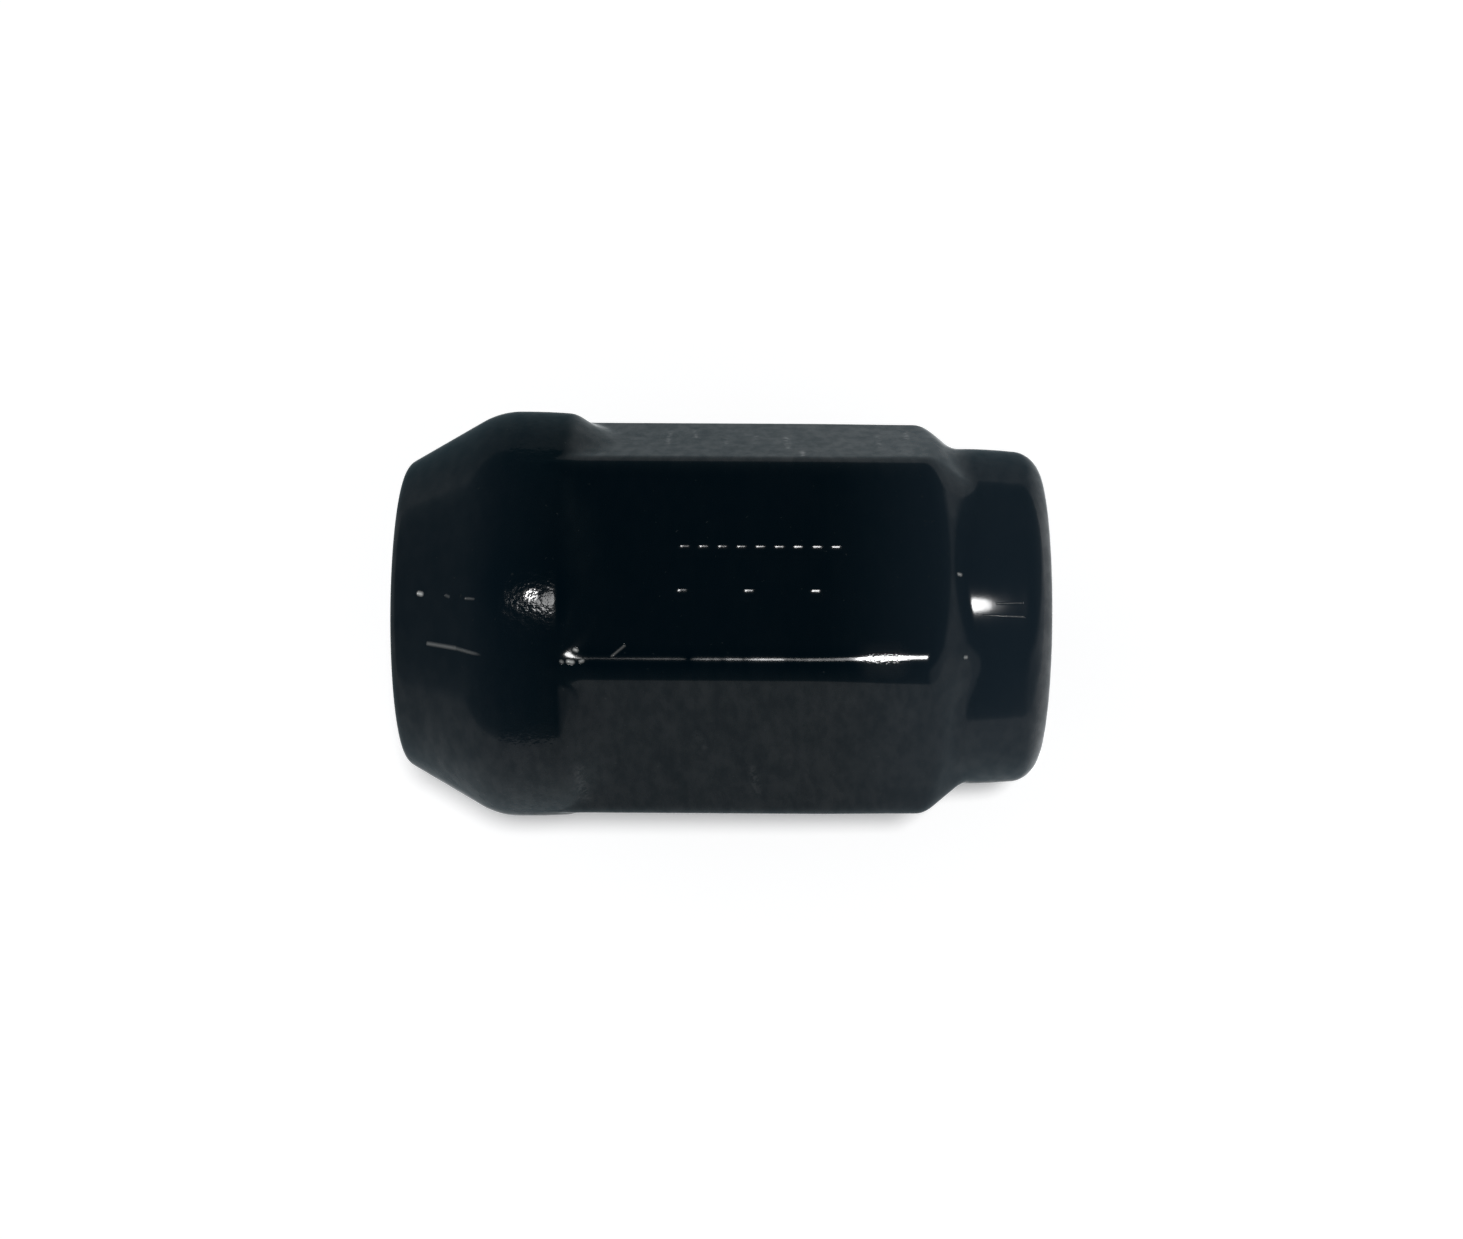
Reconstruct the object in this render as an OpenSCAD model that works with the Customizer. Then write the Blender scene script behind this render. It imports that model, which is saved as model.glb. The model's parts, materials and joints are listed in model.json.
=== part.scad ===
// Closed-end lug nut: a hexagon with a round bulge, a conical seat and a rounded cap.
// It is drawn along its own axis with the open end at zero, then laid on its side as it comes to rest.

/* [Hexagon] */
// Width across the flats, which is the wrench size
hex_af = 19; // [18:0.1:20]
// Rounding along the six corners
hex_corner_r = 1.6; // [0.8:0.1:2.4]
// Distance from the open end to the far end of the flats
flat_end = 28.6; // [26:0.1:29.5]

/* [Conical seat] */
// Included angle of the seat
seat_angle = 60; // [55:1:75]
// Diameter at which the seat would meet the open end
seat_small_d = 15.8; // [15:0.1:17]
// Rounding of the rim round the open end
rim_r = 0.8; // [0.3:0.1:1.2]

/* [Bulge] */
// Diameter of the bulge
bulge_d = 21.5; // [21:0.1:23]
// Rounding between the seat and the bulge
bulge_front_r = 5; // [1:0.5:6]
// Distance from the open end to the back edge of the bulge
bulge_end = 8.7; // [8.5:0.1:11]
// Rounding over the back edge of the bulge
bulge_back_r = 2; // [0.6:0.1:2.4]
// Slope of the back of the bulge, measured from the axis
bulge_back_angle = 32; // [28:1:45]
// Hollow rounding where that slope runs out on the flats
neck_r = 2.4; // [1:0.1:2.6]

/* [Cap] */
// Overall length from the open end to the top of the cap
total_length = 33.6; // [32.5:0.1:38]
// Diameter of the cap
cap_d = 17.8; // [16.8:0.1:18.4]
// Rounding of the edge of the closed end
cap_edge_r = 1.5; // [0.6:0.1:2]
// Height of the slight dome on the closed end
cap_crown = 0.35; // [0.1:0.05:0.6]
// Slope of the shoulder between the flats and the cap, measured from the axis
shoulder_angle = 38; // [30:1:45]
// Rounding where the hexagon corners run into the shoulder
shoulder_top_r = 3; // [1:0.5:5]
// Hollow rounding where the shoulder meets the cap
shoulder_foot_r = 1.4; // [0.5:0.1:2]

/* [Thread] */
// Nominal diameter of the stud
thread_d = 12; // [10:0.5:12.5]
// Pitch of the thread
thread_pitch = 1.5; // [1.25:0.25:1.75]
// Depth of the round hole up to its pointed end
hole_depth = 25; // [20:0.5:27]
// Diameter of the countersink at the open end
countersink_d = 12.9; // [12.8:0.1:13.6]
// Included angle of the countersink
countersink_angle = 90; // [60:5:120]
// Included angle of the pointed end of the hole
drill_angle = 118; // [90:1:140]

/* [Hidden] */
$fn = 96;

// How far the neck dips under the flats, so that it meets them at an angle
neck_dip = 0.2;
// How far the shoulder rounding starts outside the corners
shoulder_lead = 0.08;
// Extra length of a cut past an open face
cut_past = 1;
// Turn of the round surfaces, so that their seams lie between the middle of a flat and a corner
seam_turn = 15;

flat_r = hex_af / 2;
seat_small_r = seat_small_d / 2;
bulge_r = bulge_d / 2;
cap_r = cap_d / 2;
neck_floor_r = flat_r - neck_dip;
// The minor radius of a metric thread, which is the wall of the plain hole
hole_r = (thread_d - 1.0825 * thread_pitch) / 2;

// Geometry of a rounded corner at p between the points a and b
function unit(v) = v / norm(v);
function half_angle(a, p, b) = acos(unit(a - p) * unit(b - p)) / 2;
function reach(a, p, b, r) = r / tan(half_angle(a, p, b));
function arc_start(a, p, b, r) = p + reach(a, p, b, r) * unit(a - p);
function arc_end(a, p, b, r) = p + reach(a, p, b, r) * unit(b - p);
function arc_centre(a, p, b, r) =
    p + r / sin(half_angle(a, p, b)) * unit(unit(a - p) + unit(b - p));

// Corners of the hexagon, one flat facing along X
hex_corners = [for (i = [0 : 5]) flat_r / cos(30) * [cos(60 * i + 30), sin(60 * i + 30)]];
hex_corner_reach = (flat_r - hex_corner_r) / cos(30) + hex_corner_r;

// Outline of the seat, bulge and neck, as radius and distance from the open end
seat_length = (bulge_r - seat_small_r) / tan(seat_angle / 2);
neck_start = bulge_end + (bulge_r - neck_floor_r) / tan(bulge_back_angle);
neck_end = neck_start + neck_r;
seat_corners = [
    [0, 0],
    [seat_small_r, 0],
    [bulge_r, seat_length],
    [bulge_r, bulge_end],
    [neck_floor_r, neck_start],
    [neck_floor_r, neck_end],
    [0, neck_end]
];
seat_rounds = [0, rim_r, bulge_front_r, bulge_back_r, -neck_r, 0, 0];
rim_centre = arc_centre(seat_corners[0], seat_corners[1], seat_corners[2], rim_r);
bulge_back_centre = arc_centre(seat_corners[2], seat_corners[3], seat_corners[4], bulge_back_r);

// The dome of the closed end, and the edge rounding that touches both dome and cap
dome_r = (cap_r * cap_r + cap_crown * cap_crown) / (2 * cap_crown);
dome_centre = [0, total_length - dome_r];
cap_edge_from_axis = cap_r - cap_edge_r;
cap_edge_centre = [
    cap_edge_from_axis,
    dome_centre[1] + sqrt(pow(dome_r - cap_edge_r, 2) - pow(cap_edge_from_axis, 2))
];
dome_edge = dome_centre + dome_r * unit(cap_edge_centre - dome_centre);

// Outline of the turned envelope that trims the hexagon and forms the shoulder and cap
hex_start = (seat_length + bulge_end) / 2;
envelope_r = hex_corner_reach + shoulder_lead;
shoulder_start = flat_end - (envelope_r - flat_r) / tan(shoulder_angle);
shoulder_foot = flat_end + (flat_r - cap_r) / tan(shoulder_angle);
envelope_corners = [
    [0, hex_start],
    [envelope_r, hex_start],
    [envelope_r, shoulder_start],
    [cap_r, shoulder_foot],
    [cap_r, cap_edge_centre[1]],
    [0, cap_edge_centre[1]]
];
envelope_rounds = [0, 0, shoulder_top_r, -shoulder_foot_r, 0, 0];

// The nut rests on the back edge of the bulge and the far end of one flat, so its axis leans
rest_lever = [flat_end - bulge_back_centre[1], flat_r - bulge_back_centre[0]];
lean = asin(bulge_back_r / norm(rest_lever)) - atan2(rest_lever[1], rest_lever[0]);
rest_height = flat_end * sin(lean) + flat_r * cos(lean);
lying_min_x = rim_centre[1] * cos(lean) - rim_centre[0] * sin(lean) - rim_r;
lying_max_x = cap_edge_centre[1] * cos(lean) + cap_edge_centre[0] * sin(lean) + cap_edge_r;
lying_mid_x = (lying_min_x + lying_max_x) / 2;

// A pie slice of the circle round centre, between two points on it
module slice(centre, from, to) {
    intersection() {
        translate(centre) circle(norm(from - centre));
        polygon([centre, centre + 2 * (from - centre), centre + 2 * (to - centre)]);
    }
}

// The slice that rounds corner i of an outline
module corner_slice(corners, i, r) {
    n = len(corners);
    a = corners[(i + n - 1) % n];
    p = corners[i];
    b = corners[(i + 1) % n];
    slice(arc_centre(a, p, b, r), arc_start(a, p, b, r), arc_end(a, p, b, r));
}

// An outline with its corners rounded: a round above zero is outward, one below zero is hollow
module rounded_outline(corners, rounds) {
    n = len(corners);
    difference() {
        union() {
            polygon([for (i = [0 : n - 1])
                let (a = corners[(i + n - 1) % n], p = corners[i], b = corners[(i + 1) % n])
                each rounds[i] == 0 ? [p]
                    : [arc_start(a, p, b, abs(rounds[i])), arc_end(a, p, b, abs(rounds[i]))]]);
            for (i = [0 : n - 1])
                if (rounds[i] > 0) corner_slice(corners, i, rounds[i]);
        }
        for (i = [0 : n - 1])
            if (rounds[i] < 0) corner_slice(corners, i, -rounds[i]);
    }
}

// Half section of the dome and edge rounding of the closed end
module cap_end_section() {
    edge_side = cap_edge_centre + [cap_edge_r, 0];
    past_dome_edge = dome_edge + cut_past * unit(dome_edge - dome_centre);
    slice(cap_edge_centre, edge_side, dome_edge);
    intersection() {
        translate(dome_centre) circle(dome_r);
        polygon([
            [0, cap_edge_centre[1]],
            cap_edge_centre,
            past_dome_edge,
            [0, total_length + cut_past]
        ]);
    }
}

// A half section turned round the axis
module turned() {
    rotate(seam_turn) rotate_extrude() children();
}

// Conical seat, bulge and neck
module seat_and_bulge() {
    turned() rounded_outline(seat_corners, seat_rounds);
}

// Hexagon trimmed by the turned shoulder and cap
module hexagon_and_cap() {
    intersection() {
        translate([0, 0, hex_start])
            linear_extrude(total_length - hex_start + cut_past)
                rounded_outline(hex_corners, [for (i = [0 : 5]) hex_corner_r]);
        turned()
            union() {
                rounded_outline(envelope_corners, envelope_rounds);
                cap_end_section();
            }
    }
}

// Blind hole for the stud: countersink, plain wall at the minor diameter and pointed end
module stud_hole() {
    spread = tan(countersink_angle / 2);
    turned()
        polygon([
            [0, -cut_past],
            [countersink_d / 2 + cut_past * spread, -cut_past],
            [hole_r, (countersink_d / 2 - hole_r) / spread],
            [hole_r, hole_depth],
            [0, hole_depth + hole_r / tan(drill_angle / 2)]
        ]);
}

// Lays the nut down with the open end towards -X and one flat underneath
module at_rest() {
    translate([-lying_mid_x, 0, rest_height])
        rotate([0, 90 + lean, 0])
            children();
}

// The forged steel nut in its gloss black coat
module lug_nut() {
    color("#14191c")
        at_rest()
            difference() {
                union() {
                    seat_and_bulge();
                    hexagon_and_cap();
                }
                stud_hole();
            }
}

lug_nut();
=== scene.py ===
import json
from math import atan2, cos, hypot, pi, radians, sin, sqrt, tan

import bmesh
import bpy
from mathutils import Matrix, Vector


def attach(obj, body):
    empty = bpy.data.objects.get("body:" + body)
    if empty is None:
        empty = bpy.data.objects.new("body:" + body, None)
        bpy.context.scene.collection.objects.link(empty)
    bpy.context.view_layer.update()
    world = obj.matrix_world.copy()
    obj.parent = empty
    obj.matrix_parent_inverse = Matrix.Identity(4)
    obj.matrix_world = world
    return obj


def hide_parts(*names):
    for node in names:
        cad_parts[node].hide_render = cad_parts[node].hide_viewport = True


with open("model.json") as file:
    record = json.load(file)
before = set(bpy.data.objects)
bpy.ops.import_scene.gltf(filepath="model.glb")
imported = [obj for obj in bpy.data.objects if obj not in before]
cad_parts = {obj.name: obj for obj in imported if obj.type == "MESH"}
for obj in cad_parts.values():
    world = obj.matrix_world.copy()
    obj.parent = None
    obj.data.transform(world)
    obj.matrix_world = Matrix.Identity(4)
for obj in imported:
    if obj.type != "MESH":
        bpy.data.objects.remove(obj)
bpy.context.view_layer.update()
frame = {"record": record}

# The nut
# One piece of cold-forged steel: a hexagon with a bulge and conical seat at its open end, and a closed cap.
# The hole is drilled and threaded afterwards, and the whole nut has a gloss black coat.
# Its mesh is turned from a half section, and the flats are then pressed into the round.

# Lengths are millimetres along and from the nut's own axis, counted from the open end
MM = 0.001
hex_af = 19.0
hex_corner_r = 1.6
hex_corner_r_by_cap = 2.0
corner_change = (21.0, 27.0)
flat_end = 27.85
flat_end_at_corners = 28.7
seat_half_angle = radians(30)
seat_small_r = 7.9
rim_r = 0.8
bulge_r = 10.75
bulge_front_r = 4.0
bulge_end = 8.7
bulge_back_angle = radians(32)
total_length = 33.6
cap_r = 8.9
cap_edge_r = 1.5
cap_crown = 0.35
shoulder_angle = radians(40)
bulge_barrel_start = 6.4
bulge_barrel_r = 30.0
cap_barrel_start = 29.4
cap_barrel_r = 25.0

# How widely two surfaces are blended where they meet
bulge_back_blend = 0.18
bulge_foot_blend = 0.02
neck_blend = 0.55
neck_blend_zone = (bulge_end - 0.5, bulge_end + 1.2)
shoulder_blend_on_flats = 0.3
shoulder_blend_on_corners = 0.4
cap_foot_blend = 0.36

flat_r = hex_af / 2
sector = radians(60)
half_sector = sector / 2
hex_corner_reach = (flat_r - hex_corner_r) / cos(half_sector) + hex_corner_r


def soft_min(a, b, blend):
    """The smaller of two radii, with the edge where they cross rounded over."""
    share = max(blend - abs(a - b), 0.0) / blend
    return min(a, b) - share * share * blend / 4


def soft_max(a, b, blend):
    """The larger of two radii, with the hollow where they cross filled in."""
    return -soft_min(-a, -b, blend)


def ease(low, high, value):
    """A smooth step from 0 at low to 1 at high."""
    share = min(max((value - low) / (high - low), 0.0), 1.0)
    return share * share * (3 - 2 * share)


def between(low, high, share):
    """The value a given share of the way from low to high."""
    return low + (high - low) * share


def hexagon_radius(turn, corner_r):
    """Distance from the axis to the round-cornered hexagon, at an angle from the middle of a flat."""
    from_flat = abs((turn + half_sector) % sector - half_sector)
    if flat_r * tan(from_flat) <= (flat_r - corner_r) * tan(half_sector):
        return flat_r / cos(from_flat)
    from_corner = half_sector - from_flat
    corner_centre = (flat_r - corner_r) / cos(half_sector)
    across = corner_centre * sin(from_corner)
    return corner_centre * cos(from_corner) + sqrt(max(corner_r**2 - across**2, 0.0))


def body_radius(turn, along):
    """Distance from the axis to the outside of the nut between the bulge and the cap."""
    corner_r = between(hex_corner_r, hex_corner_r_by_cap, ease(*corner_change, along))
    hexagon = hexagon_radius(turn, corner_r)
    to_corner = (hexagon - flat_r) / (hex_corner_reach - flat_r)
    end_here = between(flat_end, flat_end_at_corners, to_corner)
    shoulder = flat_r - (along - end_here) * tan(shoulder_angle)
    shoulder_blend = between(shoulder_blend_on_flats, shoulder_blend_on_corners, to_corner)
    hexagon = soft_max(soft_min(hexagon, shoulder, shoulder_blend), cap_r, cap_foot_blend)
    barrel = bulge_r - max(along - bulge_barrel_start, 0.0) ** 2 / (2 * bulge_barrel_r)
    slope = bulge_r - (along - bulge_end) * tan(bulge_back_angle)
    bulge = soft_min(barrel, slope, bulge_back_blend)
    return soft_max(hexagon, bulge, bulge_foot_blend + neck_blend * ease(*neck_blend_zone, along))


def arc(centre, radius, start, end, steps):
    """Points on an arc of the half section, as distance from the axis and distance along it."""
    angles = [between(start, end, i / steps) for i in range(steps + 1)]
    return [(centre[0] + radius * cos(angle), centre[1] + radius * sin(angle)) for angle in angles]


def line(start, end, steps):
    """Evenly spaced points on a straight stretch of the half section, without its last point."""
    shares = [i / steps for i in range(steps)]
    return [(between(start[0], end[0], share), between(start[1], end[1], share)) for share in shares]


# Half section of the outside, from the rim of the open end to the top of the cap
seat_length = (bulge_r - seat_small_r) / tan(seat_half_angle)
cone_normal = -seat_half_angle
rim_reach = rim_r * tan((pi / 2 - seat_half_angle) / 2)
rim_centre = (seat_small_r - rim_reach, rim_r)
front_reach = bulge_front_r * tan(seat_half_angle / 2)
front_centre = (bulge_r - bulge_front_r, seat_length + front_reach)
dome_r = (cap_r**2 + cap_crown**2) / (2 * cap_crown)
dome_centre = (0.0, total_length - dome_r)
cap_edge_from_axis = cap_r - cap_edge_r
cap_edge_along = dome_centre[1] + sqrt((dome_r - cap_edge_r) ** 2 - cap_edge_from_axis**2)
cap_edge_centre = (cap_edge_from_axis, cap_edge_along)
dome_edge_angle = atan2(cap_edge_along - dome_centre[1], cap_edge_from_axis)

# The flats are pressed between these two places, with closer rings over the neck and the shoulder
shaped_start = front_centre[1] + 0.4
shaped_end = 30.2
neck_top = bulge_end - 0.9
neck_foot = bulge_end + 4.2
shoulder_top = flat_end - 2.2

rim = arc(rim_centre, rim_r, -pi / 2, cone_normal, steps=8)
front = arc(front_centre, bulge_front_r, cone_normal, 0.0, steps=12)
outside = rim[:-1]
outside += line(rim[-1], front[0], steps=10)
outside += front
outside += line((bulge_r, shaped_start), (bulge_r, neck_top), steps=3)
outside += line((bulge_r, neck_top), (bulge_r, neck_foot), steps=40)
outside += line((bulge_r, neck_foot), (bulge_r, shoulder_top), steps=30)
outside += line((bulge_r, shoulder_top), (bulge_r, shaped_end), steps=40)
outside += line((cap_r, shaped_end), (cap_r, cap_edge_along), steps=4)
outside += arc(cap_edge_centre, cap_edge_r, 0.0, dome_edge_angle, steps=12)
outside += arc(dome_centre, dome_r, dome_edge_angle, pi / 2, steps=8)[1:]


def cap_barrel(along):
    """How much narrower the cap is at a distance along the axis, as a share of its radius."""
    past_start = max(min(along, cap_edge_along) - cap_barrel_start, 0.0)
    return 1 - past_start**2 / (2 * cap_barrel_r * cap_r)


def lathe(mesh, section, steps):
    """Turns a half section once round the Z axis and returns the new vertices."""
    before = set(mesh.verts)
    points = [mesh.verts.new((r, 0.0, along)) for r, along in section]
    edges = [mesh.edges.new(pair) for pair in zip(points, points[1:])]
    bmesh.ops.spin(
        mesh,
        geom=points + edges,
        cent=(0, 0, 0),
        axis=(0, 0, 1),
        angle=2 * pi,
        steps=steps,
        use_merge=True,
    )
    return [v for v in mesh.verts if v not in before]


# Places that lie closer together than this count as one
tiny = 1e-4
outside_steps = 192
corner_share = 0.5
corner_zone = radians(6.2)
crowding_start = 2.0


def crowd_to_corners(turn):
    """Moves an even angle so that many of them lie on the rounded corners and few on the flats."""
    flat, share = divmod(turn / sector, 1.0)
    flat_share = (1 - corner_share) / 2
    knots = [
        (0.0, 0.0),
        (flat_share, half_sector - corner_zone),
        (1 - flat_share, half_sector + corner_zone),
        (1.0, sector),
    ]
    for (a, turn_a), (b, turn_b) in zip(knots, knots[1:]):
        if share <= b:
            return flat * sector + turn_a + (turn_b - turn_a) * (share - a) / (b - a)
    return turn


nut_mesh = bmesh.new()
for v in lathe(nut_mesh, outside, outside_steps):
    r = hypot(v.co.x, v.co.y)
    along = v.co.z
    turn = atan2(v.co.y, v.co.x) % (2 * pi)
    turn = between(turn, crowd_to_corners(turn), ease(crowding_start, seat_length, along))
    if shaped_start - tiny <= along <= shaped_end + tiny and r > cap_r - tiny:
        r = body_radius(turn, along)
    r *= cap_barrel(along)
    v.co = (r * cos(turn), r * sin(turn), along)

# The blind hole: a countersink, an M12 x 1.5 thread cut into the drilled wall, and the drill's point
thread = next(m for m in frame["record"]["mounts"] if m["name"] == "thread")
seat = next(m for m in frame["record"]["mounts"] if m["name"] == "seat")
thread_minor_r = thread["dims"]["r_mm"]
thread_major_r = 6.0
thread_pitch = 1.5
countersink_r = 6.45
hole_depth = 25.0
thread_end = hole_depth - 1.6
drill_half_angle = radians(59)
rings_per_turn = 16
hole_steps = 96
crest_share = 1 / 8
root_share = 7 / 16
wall_start = countersink_r - thread_minor_r
wall_rings = round((hole_depth - wall_start) / thread_pitch * rings_per_turn)
point_depth = hole_depth + thread_minor_r / tan(drill_half_angle)

hole = line((countersink_r, 0.0), (thread_minor_r, wall_start), steps=rings_per_turn)
hole += line((thread_minor_r, wall_start), (thread_minor_r, hole_depth), steps=wall_rings)
hole += line((thread_minor_r, hole_depth), (0.0, point_depth), steps=8)
hole += [(0.0, point_depth)]


def thread_depth(turn, along):
    """How deep the groove is, from 0 on the crest to 1 at the root, on a right-hand helix."""
    phase = (along / thread_pitch - turn / (2 * pi)) % 1.0
    from_crest = min(phase, 1 - phase)
    groove = min(max((from_crest - crest_share) / (root_share - crest_share), 0.0), 1.0)
    return groove * (1 - ease(thread_end - thread_pitch, thread_end, along))


for v in lathe(nut_mesh, hole, hole_steps):
    r = hypot(v.co.x, v.co.y)
    if r > tiny and v.co.z < hole_depth:
        turn = atan2(v.co.y, v.co.x) % (2 * pi)
        wall = between(thread_minor_r, thread_major_r, thread_depth(turn, v.co.z))
        v.co = Vector((cos(turn), sin(turn), 0)) * max(r, wall) + Vector((0, 0, v.co.z))

bmesh.ops.remove_doubles(nut_mesh, verts=nut_mesh.verts, dist=tiny)


def by_turn(v):
    """Sorts the vertices of a ring by their angle round the axis."""
    return round(atan2(v.co.y, v.co.x) % (2 * pi), 5) % round(2 * pi, 5)


# The flat ring at the open end joins the two turned surfaces: the hole has one vertex to the outside's two
end_ring = [v for v in nut_mesh.verts if v.is_boundary]
ring_split = countersink_r + 0.5
outer_ring = sorted((v for v in end_ring if hypot(v.co.x, v.co.y) > ring_split), key=by_turn)
inner_ring = sorted((v for v in end_ring if hypot(v.co.x, v.co.y) < ring_split), key=by_turn)
for i, corner in enumerate(inner_ring):
    outer_three = [outer_ring[(2 * i + j) % outside_steps] for j in range(3)]
    nut_mesh.faces.new([corner] + outer_three + [inner_ring[(i + 1) % hole_steps]])
bmesh.ops.recalc_face_normals(nut_mesh, faces=nut_mesh.faces)
for face in nut_mesh.faces:
    face.smooth = True


def dash_row(start, pitch, count, aside):
    """Places of evenly spaced dashes, as distance along the nut and aside from the middle of the flat."""
    return [(start + pitch * i, aside) for i in range(count)]


# Plain punch marks on the upper flat: nine short dashes over three, sunk into a finer patch of the face
dash_half_width = 0.34
dash_half_length = 0.14
dash_depth = 0.045
dashes = dash_row(start=14.9, pitch=0.94, count=9, aside=0.66)
dashes += dash_row(start=14.8, pitch=3.3, count=3, aside=-1.62)
patch_along = (13.9, 23.3)
patch_across = (-2.3, 1.5)
patch_cuts = 8
patch_flatness = 0.01


def in_patch(v):
    """Whether a vertex lies on the upper flat inside the patch that carries the marks."""
    on_flat = abs(v.co.x + flat_r) < patch_flatness
    in_length = patch_along[0] < v.co.z < patch_along[1]
    return on_flat and in_length and patch_across[0] < v.co.y < patch_across[1]


patch_edges = [e for e in nut_mesh.edges if in_patch(e.verts[0]) and in_patch(e.verts[1])]
bmesh.ops.subdivide_edges(nut_mesh, edges=patch_edges, cuts=patch_cuts, use_grid_fill=True)
for v in nut_mesh.verts:
    if in_patch(v):
        gap = min(
            hypot(max(abs(v.co.z - along) - dash_half_length, 0.0), v.co.y - aside)
            for along, aside in dashes
        )
        v.co.x += dash_depth * max(1 - (gap / dash_half_width) ** 2, 0.0)

# The nut lies on its side: its axis runs along the seat mount, with one flat underneath
axis = -Vector(seat["axis"]).normalized()
across = Vector((0, 1, 0))
lying = Matrix((across.cross(axis), across, axis)).transposed().to_4x4()
lying.translation = Vector(seat["pos_m"])
sharp_angle = radians(50)
bmesh.ops.transform(nut_mesh, matrix=lying @ Matrix.Scale(MM, 4), verts=nut_mesh.verts)
nut_data = bpy.data.meshes.new("lug_nut_forged")
nut_mesh.to_mesh(nut_data)
nut_mesh.free()
nut_data.set_sharp_from_angle(angle=sharp_angle)
nut = bpy.data.objects.new("lug_nut_forged", nut_data)
bpy.context.scene.collection.objects.link(nut)


def new_material(name, settings):
    """A node material with its output and a Principled shader, and the shader's plain settings made."""
    material = bpy.data.materials.new(name)
    material.use_nodes = True
    tree = material.node_tree
    tree.nodes.clear()
    output = tree.nodes.new("ShaderNodeOutputMaterial")
    shader = tree.nodes.new("ShaderNodeBsdfPrincipled")
    for socket, value in settings.items():
        shader.inputs[socket].default_value = value
    tree.links.new(shader.outputs["BSDF"], output.inputs["Surface"])
    return material, tree, shader


def add_node(tree, kind, inputs, **settings):
    """A node with its settings made and its inputs set or linked; returns its outputs."""
    node = tree.nodes.new(kind)
    for name, value in settings.items():
        setattr(node, name, value)
    for key, value in inputs.items():
        if isinstance(value, bpy.types.NodeSocket):
            tree.links.new(value, node.inputs[key])
        else:
            node.inputs[key].default_value = value
    return node.outputs


def maths(tree, operation, *values):
    """One step of arithmetic on numbers or sockets."""
    return add_node(tree, "ShaderNodeMath", dict(enumerate(values)), operation=operation)[0]


def product(tree, first, *others):
    """The product of several numbers or sockets."""
    for other in others:
        first = maths(tree, "MULTIPLY", first, other)
    return first


def vectors(tree, operation, *values):
    """One step of vector arithmetic; returns the node's outputs."""
    return add_node(tree, "ShaderNodeVectorMath", dict(enumerate(values)), operation=operation)


def remap(tree, value, low, high, to_low, to_high, kind="SMOOTHSTEP"):
    """A clamped step of a value from one range to another, smooth unless another kind is given."""
    inputs = {"Value": value, 1: low, 2: high, 3: to_low, 4: to_high}
    return add_node(tree, "ShaderNodeMapRange", inputs, interpolation_type=kind)["Result"]


def noise(tree, place, per_metre, detail):
    """Even noise with a given number of waves to the metre."""
    inputs = {"Vector": place, "Scale": per_metre, "Detail": detail, "Roughness": 0.6}
    return add_node(tree, "ShaderNodeTexNoise", inputs)["Fac"]


def tinted(tree, share, colour, tint):
    """A colour with a given share of another mixed in."""
    return add_node(tree, "ShaderNodeMix", {"Factor": share, 6: colour, 7: tint}, data_type="RGBA")[2]


# The coat is thin gloss black: bluish in its depth and uneven over the forging. Towards both ends its
# colour is lightened, a painted glow standing in for the brighter reflections there
coat_depth = (0.0002, 0.0030, 0.0054, 1)
painted_glow_colour = (0.0072, 0.0135, 0.0200, 1)
speck_colour = (0.012, 0.016, 0.018, 1)
hole_colour = (0.030, 0.031, 0.032, 1)
steel_and_glint_colour = (0.55, 0.56, 0.55, 1)
usual_noise = (0.3, 0.7)
drawn_out = (1.0, 0.5, 0.5)
hole_rim = 0.02
past_point = 1.0
coat_settings = {
    "Roughness": 0.5,
    "Specular IOR Level": 0.0,
    "Coat IOR": 1.9,
    "Coat Roughness": 0.11,
    "Sheen Weight": 0.04,
    "Sheen Roughness": 0.5,
    "Sheen Tint": (0.25, 0.78, 1.0, 1),
}
black_coat, coat, coat_shader = new_material("gloss_black_coat", coat_settings)
place = add_node(coat, "ShaderNodeTexCoord", {})["Object"]
from_mouth = vectors(coat, "SUBTRACT", place, Vector(seat["pos_m"]))["Vector"]
along_axis = vectors(coat, "DOT_PRODUCT", from_mouth, axis)["Value"]
off_axis = vectors(coat, "LENGTH", vectors(coat, "CROSS_PRODUCT", from_mouth, axis)["Vector"])["Value"]
far_side = add_node(coat, "ShaderNodeSeparateXYZ", {0: place})["Y"]


def along_step(low, high, to_low, to_high, kind="SMOOTHSTEP"):
    """A step along the nut, between two distances from the open end in millimetres."""
    return remap(coat, along_axis, low * MM, high * MM, to_low, to_high, kind)


drawn_across = vectors(coat, "MULTIPLY", place, drawn_out)["Vector"]
grain = noise(coat, drawn_across, per_metre=1900, detail=3)
mottle = noise(coat, drawn_across, per_metre=640, detail=2)
specks = remap(coat, noise(coat, place, per_metre=3800, detail=2), 0.70, 0.80, 0.0, 1.0)
# Painted glow: the colour grows lighter towards the open end and towards the cap, in place of brighter
# reflections there
painted_end_glow = maths(coat, "MAXIMUM", along_step(4.6, 8.5, 0.38, 0.0, "LINEAR"), along_step(21, 31, 0.0, 1.0))
in_hole = product(
    coat,
    maths(coat, "LESS_THAN", off_axis, (countersink_r - hole_rim) * MM),
    maths(coat, "LESS_THAN", along_axis, (point_depth + past_point) * MM),
)
base = tinted(coat, painted_end_glow, coat_depth, painted_glow_colour)
base = tinted(coat, specks, base, speck_colour)
base = tinted(coat, in_hole, base, hole_colour)

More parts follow.
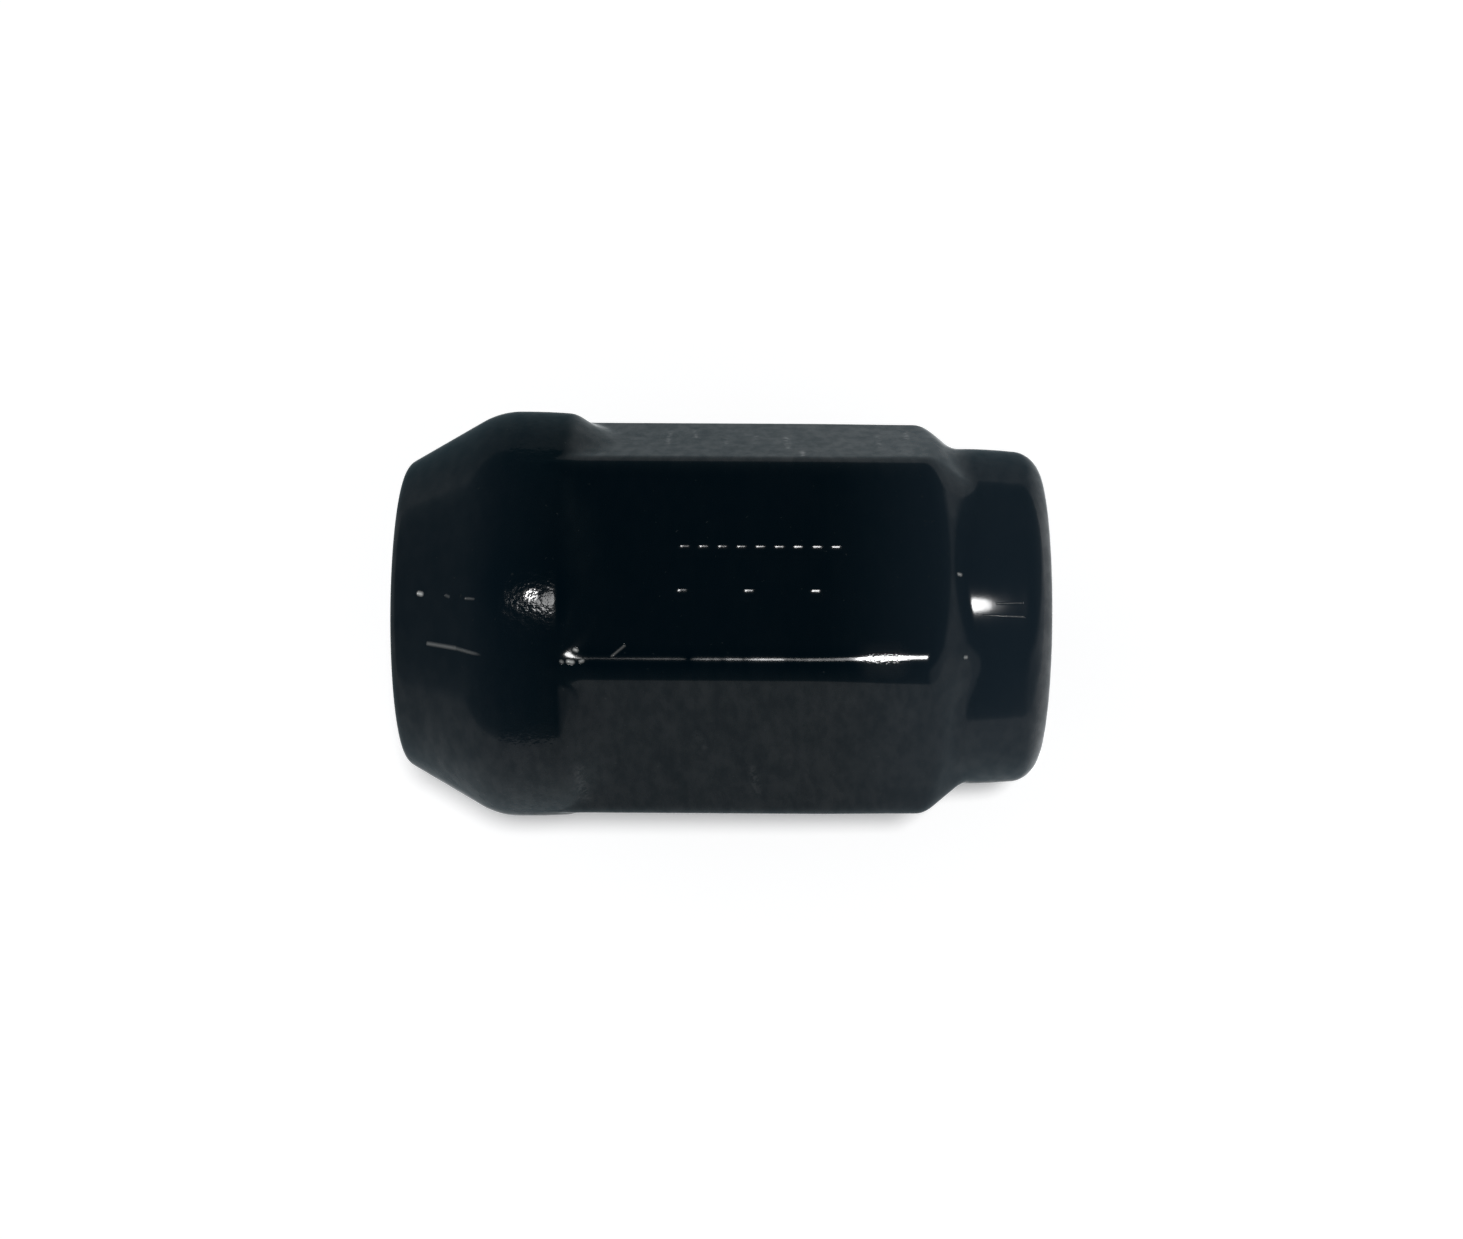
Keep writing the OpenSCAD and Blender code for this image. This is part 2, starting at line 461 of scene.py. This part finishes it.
# The coat shines less on the far side of the bulge and of the cap
dull_bulge = product(coat, along_step(5.3, 6.6, 0.9, 1.0), along_step(8.3, 9.5, 1.0, 0.0))
dull_cap = along_step(28.6, 29.8, 0.0, 0.75)
on_far_side = remap(coat, far_side, 1.0 * MM, 7.0 * MM, 0.0, 1.0)
dulled = product(coat, maths(coat, "MAXIMUM", dull_bulge, dull_cap), on_far_side)
coat_weight = product(
    coat,
    remap(coat, grain, *usual_noise, 0.110, 0.154),
    remap(coat, mottle, *usual_noise, 0.90, 1.10),
    along_step(9, 28, 0.93, 1.1),
    remap(coat, dulled, 0.0, 1.0, 1.0, 0.32),
)

# The coat has small marks in it, each between two points on the surface
mark_group = bpy.data.node_groups.new("mark", "ShaderNodeTree")
for socket_name, socket_type in [
    ("Place", "NodeSocketVector"),
    ("Start", "NodeSocketVector"),
    ("Span", "NodeSocketVector"),
    ("Width", "NodeSocketFloat"),
]:
    mark_group.interface.new_socket(socket_name, in_out="INPUT", socket_type=socket_type)
mark_group.interface.new_socket("Depth", in_out="OUTPUT", socket_type="NodeSocketFloat")
given = add_node(mark_group, "NodeGroupInput", {})
span = given["Span"]
from_start = vectors(mark_group, "SUBTRACT", given["Place"], given["Start"])["Vector"]
passed = maths(
    mark_group,
    "DIVIDE",
    vectors(mark_group, "DOT_PRODUCT", from_start, span)["Value"],
    vectors(mark_group, "DOT_PRODUCT", span, span)["Value"],
)
passed = add_node(mark_group, "ShaderNodeClamp", {"Value": passed})["Result"]
nearest = add_node(mark_group, "ShaderNodeVectorMath", {0: span, "Scale": passed}, operation="SCALE")[0]
gap = vectors(mark_group, "DISTANCE", from_start, nearest)["Value"]
sunk = remap(mark_group, gap, 0.0, given["Width"], 1.0, 0.0)
add_node(mark_group, "NodeGroupOutput", {"Depth": sunk})


def on_surface(along, turn):
    """A point on the outside of the nut, from its distance along the axis and its angle in degrees."""
    cone = seat_small_r + along * tan(seat_half_angle)
    r = body_radius(radians(turn), along) if along > shaped_start else min(cone, bulge_r)
    r *= cap_barrel(along)
    return lying @ (Vector((r * cos(radians(turn)), r * sin(radians(turn)), along)) * MM)


def mark_depth(start, end, width):
    """How far a place lies inside one mark, from 0 at its edge to 1 along its middle."""
    first = on_surface(*start)
    mark = coat.nodes.new("ShaderNodeGroup")
    mark.node_tree = mark_group
    coat.links.new(place, mark.inputs["Place"])
    mark.inputs["Start"].default_value = first
    mark.inputs["Span"].default_value = on_surface(*end) - first
    mark.inputs["Width"].default_value = width * MM
    return mark.outputs["Depth"]


# Nicks are short grooves: start and end, as along and angle, width, and how far they bare the steel. The
# bared steel is a light colour that also paints in the glints the nicks catch, so it is partly wear and
# partly painted highlight
nick_depth_to_width = 0.5
nicks = [
    ((2.1, 205.0), (3.55, 205.4), 0.15, 0.22),
    ((3.55, 205.4), (4.9, 206.6), 0.13, 0.15),
    ((1.6, 189.0), (1.75, 189.3), 0.17, 0.9),
    ((3.05, 190.2), (3.2, 190.6), 0.11, 0.10),
    ((4.1, 191.3), (4.5, 191.5), 0.10, 0.15),
    ((9.5, 205.0), (9.6, 205.2), 0.14, 0.7),
    ((9.2, 208.0), (9.4, 208.2), 0.16, 0.7),
    ((9.8, 208.0), (9.9, 207.8), 0.14, 0.5),
    ((8.85, 208.0), (8.9, 208.2), 0.13, 0.3),
    ((11.35, 206.6), (11.95, 204.0), 0.10, 0.15),
    ((28.5, 182.0), (28.6, 182.1), 0.13, 0.5),
    ((28.8, 208.0), (28.9, 208.1), 0.13, 0.5),
    ((29.75, 195.0), (31.75, 195.5), 0.07, 0.12),
    ((30.40, 191.2), (31.65, 191.0), 0.07, 0.10),
]
nick_depth = 0.0
bared_steel_and_glint = 0.0
for start, end, width, bare_and_glint_share in nicks:
    depth = mark_depth(start, end, width)
    groove = product(coat, depth, nick_depth_to_width * width * MM)
    nick_depth = maths(coat, "MAXIMUM", groove, nick_depth)
    bared_steel_and_glint = maths(coat, "MAXIMUM", product(coat, depth, bare_and_glint_share), bared_steel_and_glint)
# The nicks' bared steel is a lighter colour: partly wear, partly a painted glint where they catch the lamp
base = tinted(coat, bared_steel_and_glint, base, steel_and_glint_colour)
coat.links.new(base, coat_shader.inputs["Base Color"])

# Rubs are patchy strokes that shine more than the coat round them, by the last number's share
rubs = [
    ((13.85, 108.0), (13.80, 128.0), 0.22, 0.8),
    ((15.20, 104.0), (15.25, 118.0), 0.26, 1.0),
    ((16.80, 118.0), (16.85, 130.0), 0.20, 0.5),
    ((18.40, 112.0), (18.30, 126.0), 0.24, 0.7),
    ((19.95, 116.0), (20.05, 134.0), 0.26, 0.9),
    ((20.75, 138.0), (20.80, 146.0), 0.22, 1.0),
    ((24.85, 112.0), (24.75, 132.0), 0.22, 0.7),
    ((26.35, 106.0), (26.30, 120.0), 0.24, 0.8),
    ((18.30, 250.0), (18.55, 260.0), 0.40, 0.8),
    ((9.50, 246.0), (9.65, 262.0), 0.55, 0.8),
    ((15.40, 234.0), (15.80, 240.0), 0.40, 0.5),
]
rubbed = 0.0
for start, end, width, gain in rubs:
    rubbed = maths(coat, "MAXIMUM", product(coat, mark_depth(start, end, width), gain), rubbed)
patches = remap(coat, noise(coat, place, per_metre=3000, detail=3), 0.42, 0.60, 0.0, 1.0)
polish = maths(coat, "MULTIPLY_ADD", rubbed, patches, 1.0)

# The hexagon edge below the marks is dull by the neck, beaded along its middle and worn broad by the cap
# The bulge is dull under the lamp apart from one polished spot, and shines more on its lower front
edge_turn = 207.3
worn_edge_gain = 4.0
worn_edge = mark_depth((24.4, edge_turn), (25.2, edge_turn), 1.2)
shine = maths(coat, "MULTIPLY_ADD", worn_edge, worn_edge_gain, 1.0)
shine_changes = [
    ((10.4, edge_turn), (15.0, edge_turn), 0.9, -0.7),
    ((6.2, 188.5), (8.3, 190.0), 2.6, -0.8),
    ((7.25, 190.3), (7.35, 190.3), 0.42, 6.0),
    ((3.0, 252.0), (7.4, 252.0), 5.0, 0.40),
]
for start, end, width, change in shine_changes:
    shine = maths(coat, "MULTIPLY_ADD", mark_depth(start, end, width), change, shine)
beads = remap(coat, mottle, 0.42, 0.58, 0.85, 0.35)
beaded_edge = product(coat, mark_depth((15.4, edge_turn), (23.0, edge_turn), 0.9), beads)
shine = maths(coat, "SUBTRACT", shine, beaded_edge)

# The rounded edge of the closed end shines more than the cap beside it
bright_edge_gain = 2.5
past_dome = remap(coat, off_axis, 6.4 * MM, 7.8 * MM, 0.0, 1.0)
bright_edge = product(coat, along_step(32.2, 33.1, 0.0, 1.0), past_dome)
edge_shine = maths(coat, "MULTIPLY_ADD", bright_edge, bright_edge_gain, 1.0)

# Seen along the surface, the coat turns mirror-like, which lights the rim of the nut
rim_sharpness = 20.0
rim_gain = 8.0
facing = add_node(coat, "ShaderNodeLayerWeight", {"Blend": 0.5})["Facing"]
rim_shine = maths(coat, "MULTIPLY_ADD", maths(coat, "POWER", facing, rim_sharpness), rim_gain, 1.0)
coat_weight = product(coat, coat_weight, polish, shine, edge_shine, rim_shine)
coat.links.new(coat_weight, coat_shader.inputs["Coat Weight"])

# The skin is a little uneven all over, scuffed round the bulge, worn on the edge and cut by the nicks
mottle_height = 0.002 * MM
grain_height = 0.001 * MM
scuff_height = 0.018 * MM
worn_height = 0.010 * MM
scuffed = product(coat, along_step(5.3, 6.1, 0.0, 1.0), along_step(8.2, 8.8, 1.0, 0.0))
scuffs = product(coat, noise(coat, place, per_metre=2600, detail=2), scuffed, scuff_height)
worn_grain = product(coat, noise(coat, place, per_metre=12000, detail=1), worn_edge, worn_height)
height = maths(coat, "MULTIPLY_ADD", mottle, mottle_height, product(coat, grain, grain_height))
for rise in [scuffs, worn_grain]:
    height = maths(coat, "ADD", height, rise)
height = maths(coat, "SUBTRACT", height, nick_depth)
skin = add_node(coat, "ShaderNodeBump", {"Height": height, "Distance": 1.0, "Strength": 1.0})["Normal"]
coat.links.new(skin, coat_shader.inputs["Normal"])
coat.links.new(skin, coat_shader.inputs["Coat Normal"])
nut_data.materials.append(black_coat)
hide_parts("lug_nut")
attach(nut, "root")

# The floor
# A plain sheet of pale matt card under the nut, large enough to reach the horizon in a low view.
# A little light of its own lifts it to white for the viewer and in reflections, and it keeps the shadow.
floor_half_width = 3.0
floor_lift = 0.30
floor_settings = {
    "Base Color": (0.95, 0.95, 0.95, 1),
    "Roughness": 1.0,
    "Specular IOR Level": 0.0,
    "Emission Color": (1, 1, 1, 1),
}
floor_mesh = bmesh.new()
bmesh.ops.create_grid(floor_mesh, x_segments=1, y_segments=1, size=floor_half_width)
floor_data = bpy.data.meshes.new("floor")
floor_mesh.to_mesh(floor_data)
floor_mesh.free()
floor = bpy.data.objects.new("floor", floor_data)
bpy.context.scene.collection.objects.link(floor)
floor_paint, floor_tree, floor_shader = new_material("pale_floor", floor_settings)
ray = add_node(floor_tree, "ShaderNodeLightPath", {})
seen = maths(floor_tree, "MAXIMUM", ray["Is Camera Ray"], ray["Is Glossy Ray"])
seen = maths(floor_tree, "MAXIMUM", seen, ray["Is Transmission Ray"])
floor_tree.links.new(product(floor_tree, seen, floor_lift), floor_shader.inputs["Emission Strength"])
floor_data.materials.append(floor_paint)

# The light
# Two round lamps high above the nut, a broad one and a faint narrow one, which make its small highlights.
# The room is dim overhead, brighter near the horizon and on the left, and has a pale wall low on the right.
lamp_elevation = radians(82.0)


def add_lamp(name, strength, width, aside):
    """A far round lamp of a given angular width, set aside along the nut's length by an angle."""
    lamp_data = bpy.data.lights.new(name, "SUN")
    lamp_data.energy = strength
    lamp_data.angle = radians(width)
    lamp = bpy.data.objects.new(name, lamp_data)
    lamp_direction = Vector((tan(radians(aside)), -cos(lamp_elevation), sin(lamp_elevation)))
    lamp.rotation_euler = lamp_direction.to_track_quat("Z", "Y").to_euler()
    bpy.context.scene.collection.objects.link(lamp)


add_lamp("key_lamp", strength=1.9, width=9, aside=8.0)
add_lamp("side_lamp", strength=0.065, width=3, aside=1.7)

# Brightness of the room by height, from the horizon to straight above
sky_stops = [(0.0, 0.40), (0.06, 0.25), (0.20, 0.17), (0.60, 0.12), (1.0, 0.06)]
room_colour = (0.97, 1.0, 1.03, 1)
left_zone = (-0.9, -0.1)
left_gain = 2.2
wall_zone = (0.55, 0.85)
wall_top = (0.18, 0.46)
wall_level = 0.5
wall_turn = -0.4
wall_slope = 0.5

world = bpy.data.worlds.new("room")
bpy.context.scene.world = world
world.use_nodes = True
room = world.node_tree
room.nodes.clear()
world_output = room.nodes.new("ShaderNodeOutputWorld")
background = room.nodes.new("ShaderNodeBackground")
room.links.new(background.outputs[0], world_output.inputs[0])
direction = add_node(room, "ShaderNodeTexCoord", {})["Generated"]
parts = add_node(room, "ShaderNodeSeparateXYZ", {0: direction})
sky = room.nodes.new("ShaderNodeValToRGB")
for spot, _ in sky_stops[1:-1]:
    sky.color_ramp.elements.new(spot)
for stop, (spot, level) in zip(sky.color_ramp.elements, sky_stops):
    stop.position = spot
    stop.color = (level, level, level, 1)
room.links.new(parts["Z"], sky.inputs["Fac"])
left_side = remap(room, parts["X"], *left_zone, left_gain, 1.0, "LINEAR")
to_wall = maths(room, "MULTIPLY_ADD", parts["Y"], wall_turn, parts["X"])
up_wall = maths(room, "MULTIPLY_ADD", parts["Y"], wall_slope, parts["Z"])
right_wall = product(
    room,
    remap(room, to_wall, *wall_zone, 0.0, wall_level),
    remap(room, up_wall, *wall_top, 1.0, 0.0),
)
room_light = maths(room, "MULTIPLY_ADD", sky.outputs["Color"], left_side, right_wall)
room.links.new(room_light, background.inputs["Strength"])
background.inputs["Color"].default_value = room_colour

# The camera
# It looks down on the side of the nut, square to its axis and a little from the front.
# The foot is the point of the axis nearest to it, and the foot's pixel places the nut in the picture.
image_width = 1463
image_height = 1239
pixels_per_mm = 18.75
view_distance = 133.0
foot_along = 18.05
foot_pixel = (748.5, 615.0)
roll = radians(0.34)
view_tilt = radians(15.4)
sensor_width = 36.0

up_from_axis = -across.cross(axis)
to_camera = cos(view_tilt) * up_from_axis - sin(view_tilt) * across
image_up = to_camera.cross(axis)
image_right = cos(roll) * axis + sin(roll) * image_up
image_up = to_camera.cross(image_right)
foot = lying @ Vector((0, 0, foot_along * MM))
camera_place = foot + to_camera * view_distance * MM
right_of_foot = (image_width / 2 - foot_pixel[0]) / pixels_per_mm * MM
below_foot = (image_height / 2 - foot_pixel[1]) / pixels_per_mm * MM
aim = foot + image_right * right_of_foot - image_up * below_foot
look_back = (camera_place - aim).normalized()
image_right = image_up.cross(look_back).normalized()
image_up = look_back.cross(image_right)
camera_data = bpy.data.cameras.new("camera")
camera_data.sensor_width = sensor_width
camera_data.lens = sensor_width * pixels_per_mm * view_distance / image_width
camera_data.clip_start = 0.005
camera_data.clip_end = 20.0
camera = bpy.data.objects.new("camera", camera_data)
camera.matrix_world = Matrix((image_right, image_up, look_back)).transposed().to_4x4()
camera.matrix_world.translation = camera_place
bpy.context.scene.collection.objects.link(camera)
bpy.context.scene.camera = camera
bpy.context.scene.view_settings.view_transform = "Standard"
